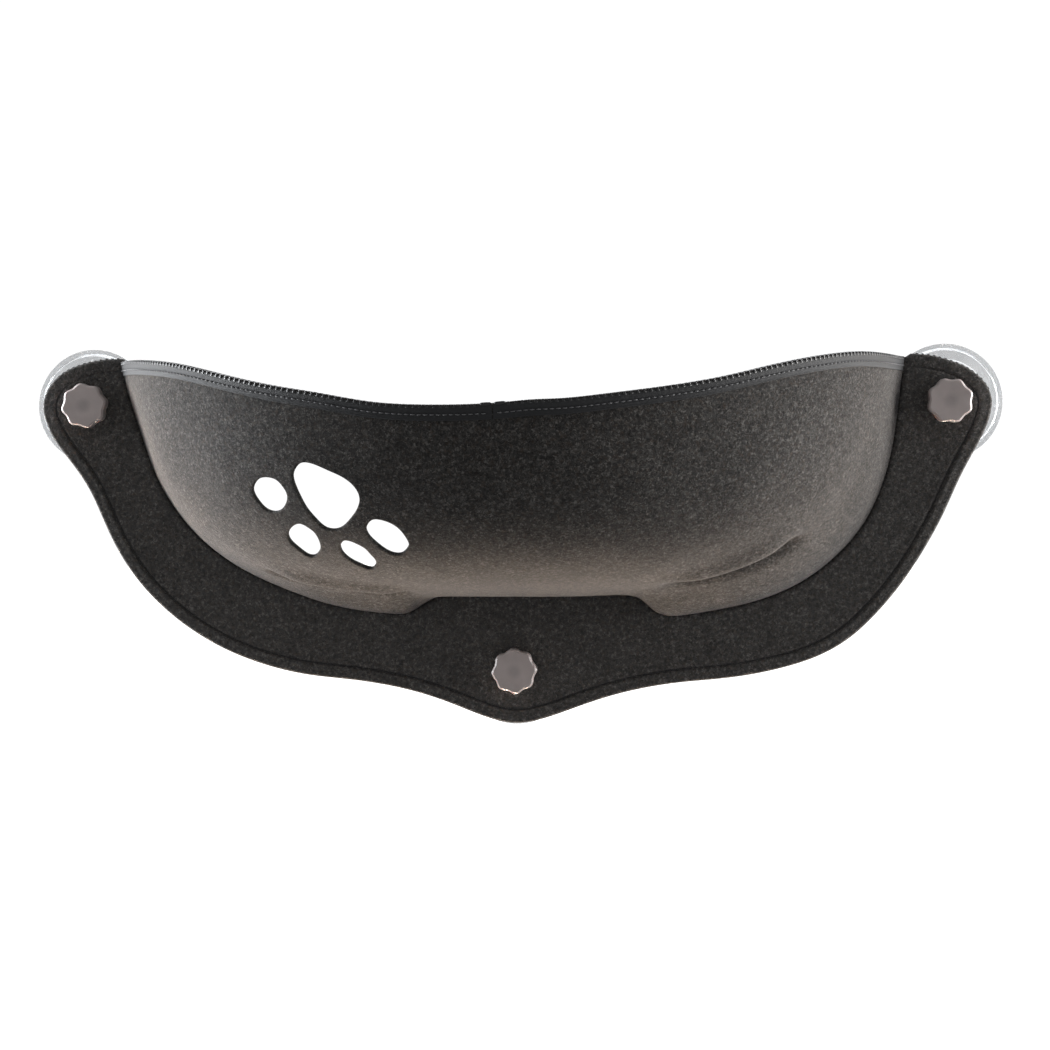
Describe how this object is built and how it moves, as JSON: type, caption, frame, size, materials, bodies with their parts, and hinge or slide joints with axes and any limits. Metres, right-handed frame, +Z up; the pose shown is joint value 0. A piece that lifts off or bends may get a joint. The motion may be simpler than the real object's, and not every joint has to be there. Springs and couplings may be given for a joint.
{
  "type": "window mounted cat perch",
  "caption": "Half-round felt cat basket on a felt panel that hangs on a window by suction cups with star knobs; zipped rim and paw shaped cut-out.",
  "frame": {"origin": "on the window glass, halfway between the two upper suction cups", "axes": "+Z up, +X to the right as seen from the room, +Y out of the room through the glass; the basket stands out towards -Y"},
  "size_m": [0.692, 0.2548, 0.271],
  "materials": {
    "basket_felt": "heather grey needled felt, salt-and-pepper fibres",
    "panel_felt": "near-black heather needled felt",
    "board": "black polypropylene sheet",
    "thread": "black polyester sewing thread",
    "zip_tape": "woven polyester zip tape",
    "zip_teeth": "moulded acetal teeth, satin",
    "clear_cup": "clear soft PVC, glossy",
    "steel": "zinc plated steel",
    "eyelet_metal": "blackened steel",
    "washer_plastic": "black nylon",
    "knob_plastic": "grey-mauve slightly translucent plastic, satin face",
    "brass": "machined brass"
  },
  "bodies": {
    "perch": {"basket_felt": "basket_felt", "panel_front_felt": "panel_felt", "panel_rear_felt": "panel_felt", "panel_board": "board", "panel_edge_stitch": "thread", "basket_seam_stitch": "thread", "zip_tape_left": "zip_tape", "zip_stitch_left": "thread", "zip_teeth_left": "zip_teeth", "zip_stop_left": "zip_teeth", "zip_tape_right": "zip_tape", "zip_stitch_right": "thread", "zip_teeth_right": "zip_teeth", "zip_stop_right": "zip_teeth", "eyelet_left": "eyelet_metal", "eyelet_right": "eyelet_metal", "eyelet_bottom": "eyelet_metal"},
    "cup_left": {"suction_cup_left": "clear_cup", "cup_stud_left": "steel"},
    "washer_left": {"washer_left": "washer_plastic"},
    "knob_left": {"knob_left": "knob_plastic", "knob_insert_left": "brass"},
    "cup_right": {"suction_cup_right": "clear_cup", "cup_stud_right": "steel"},
    "washer_right": {"washer_right": "washer_plastic"},
    "knob_right": {"knob_right": "knob_plastic", "knob_insert_right": "brass"},
    "cup_bottom": {"suction_cup_bottom": "clear_cup", "cup_stud_bottom": "steel"},
    "washer_bottom": {"washer_bottom": "washer_plastic"},
    "knob_bottom": {"knob_bottom": "knob_plastic", "knob_insert_bottom": "brass"}
  },
  "joints": [
    {"name": "cup_left_swivel", "type": "hinge", "parent": "perch", "child": "cup_left", "pos_m": [-0.305, -0.0152, 0], "axis": [0, -1, 0], "continuous": true},
    {"name": "knob_left_travel", "type": "slide", "parent": "cup_left", "child": "washer_left", "axis": [0, -1, 0], "range_m": [0, 0.00602]},
    {"name": "knob_left_turn", "type": "hinge", "parent": "washer_left", "child": "knob_left", "pos_m": [-0.305, -0.026, 0], "axis": [0, -1, 0], "range_deg": [0, 2160]},
    {"name": "cup_right_swivel", "type": "hinge", "parent": "perch", "child": "cup_right", "pos_m": [0.305, -0.0152, 0], "axis": [0, -1, 0], "continuous": true},
    {"name": "knob_right_travel", "type": "slide", "parent": "cup_right", "child": "washer_right", "axis": [0, -1, 0], "range_m": [0, 0.00602]},
    {"name": "knob_right_turn", "type": "hinge", "parent": "washer_right", "child": "knob_right", "pos_m": [0.305, -0.026, 0], "axis": [0, -1, 0], "range_deg": [0, 2160]},
    {"name": "cup_bottom_swivel", "type": "hinge", "parent": "perch", "child": "cup_bottom", "pos_m": [0, -0.0152, -0.189], "axis": [0, -1, 0], "continuous": true},
    {"name": "knob_bottom_travel", "type": "slide", "parent": "cup_bottom", "child": "washer_bottom", "axis": [0, -1, 0], "range_m": [0, 0.00602]},
    {"name": "knob_bottom_turn", "type": "hinge", "parent": "washer_bottom", "child": "knob_bottom", "pos_m": [0, -0.026, -0.189], "axis": [0, -1, 0], "range_deg": [0, 2160]}
  ],
  "couplings": [
    {"joint": "knob_left_travel", "follows": "knob_left_turn", "m_per_rad": 0.00015915},
    {"joint": "knob_right_travel", "follows": "knob_right_turn", "m_per_rad": 0.00015915},
    {"joint": "knob_bottom_travel", "follows": "knob_bottom_turn", "m_per_rad": 0.00015915}
  ]
}
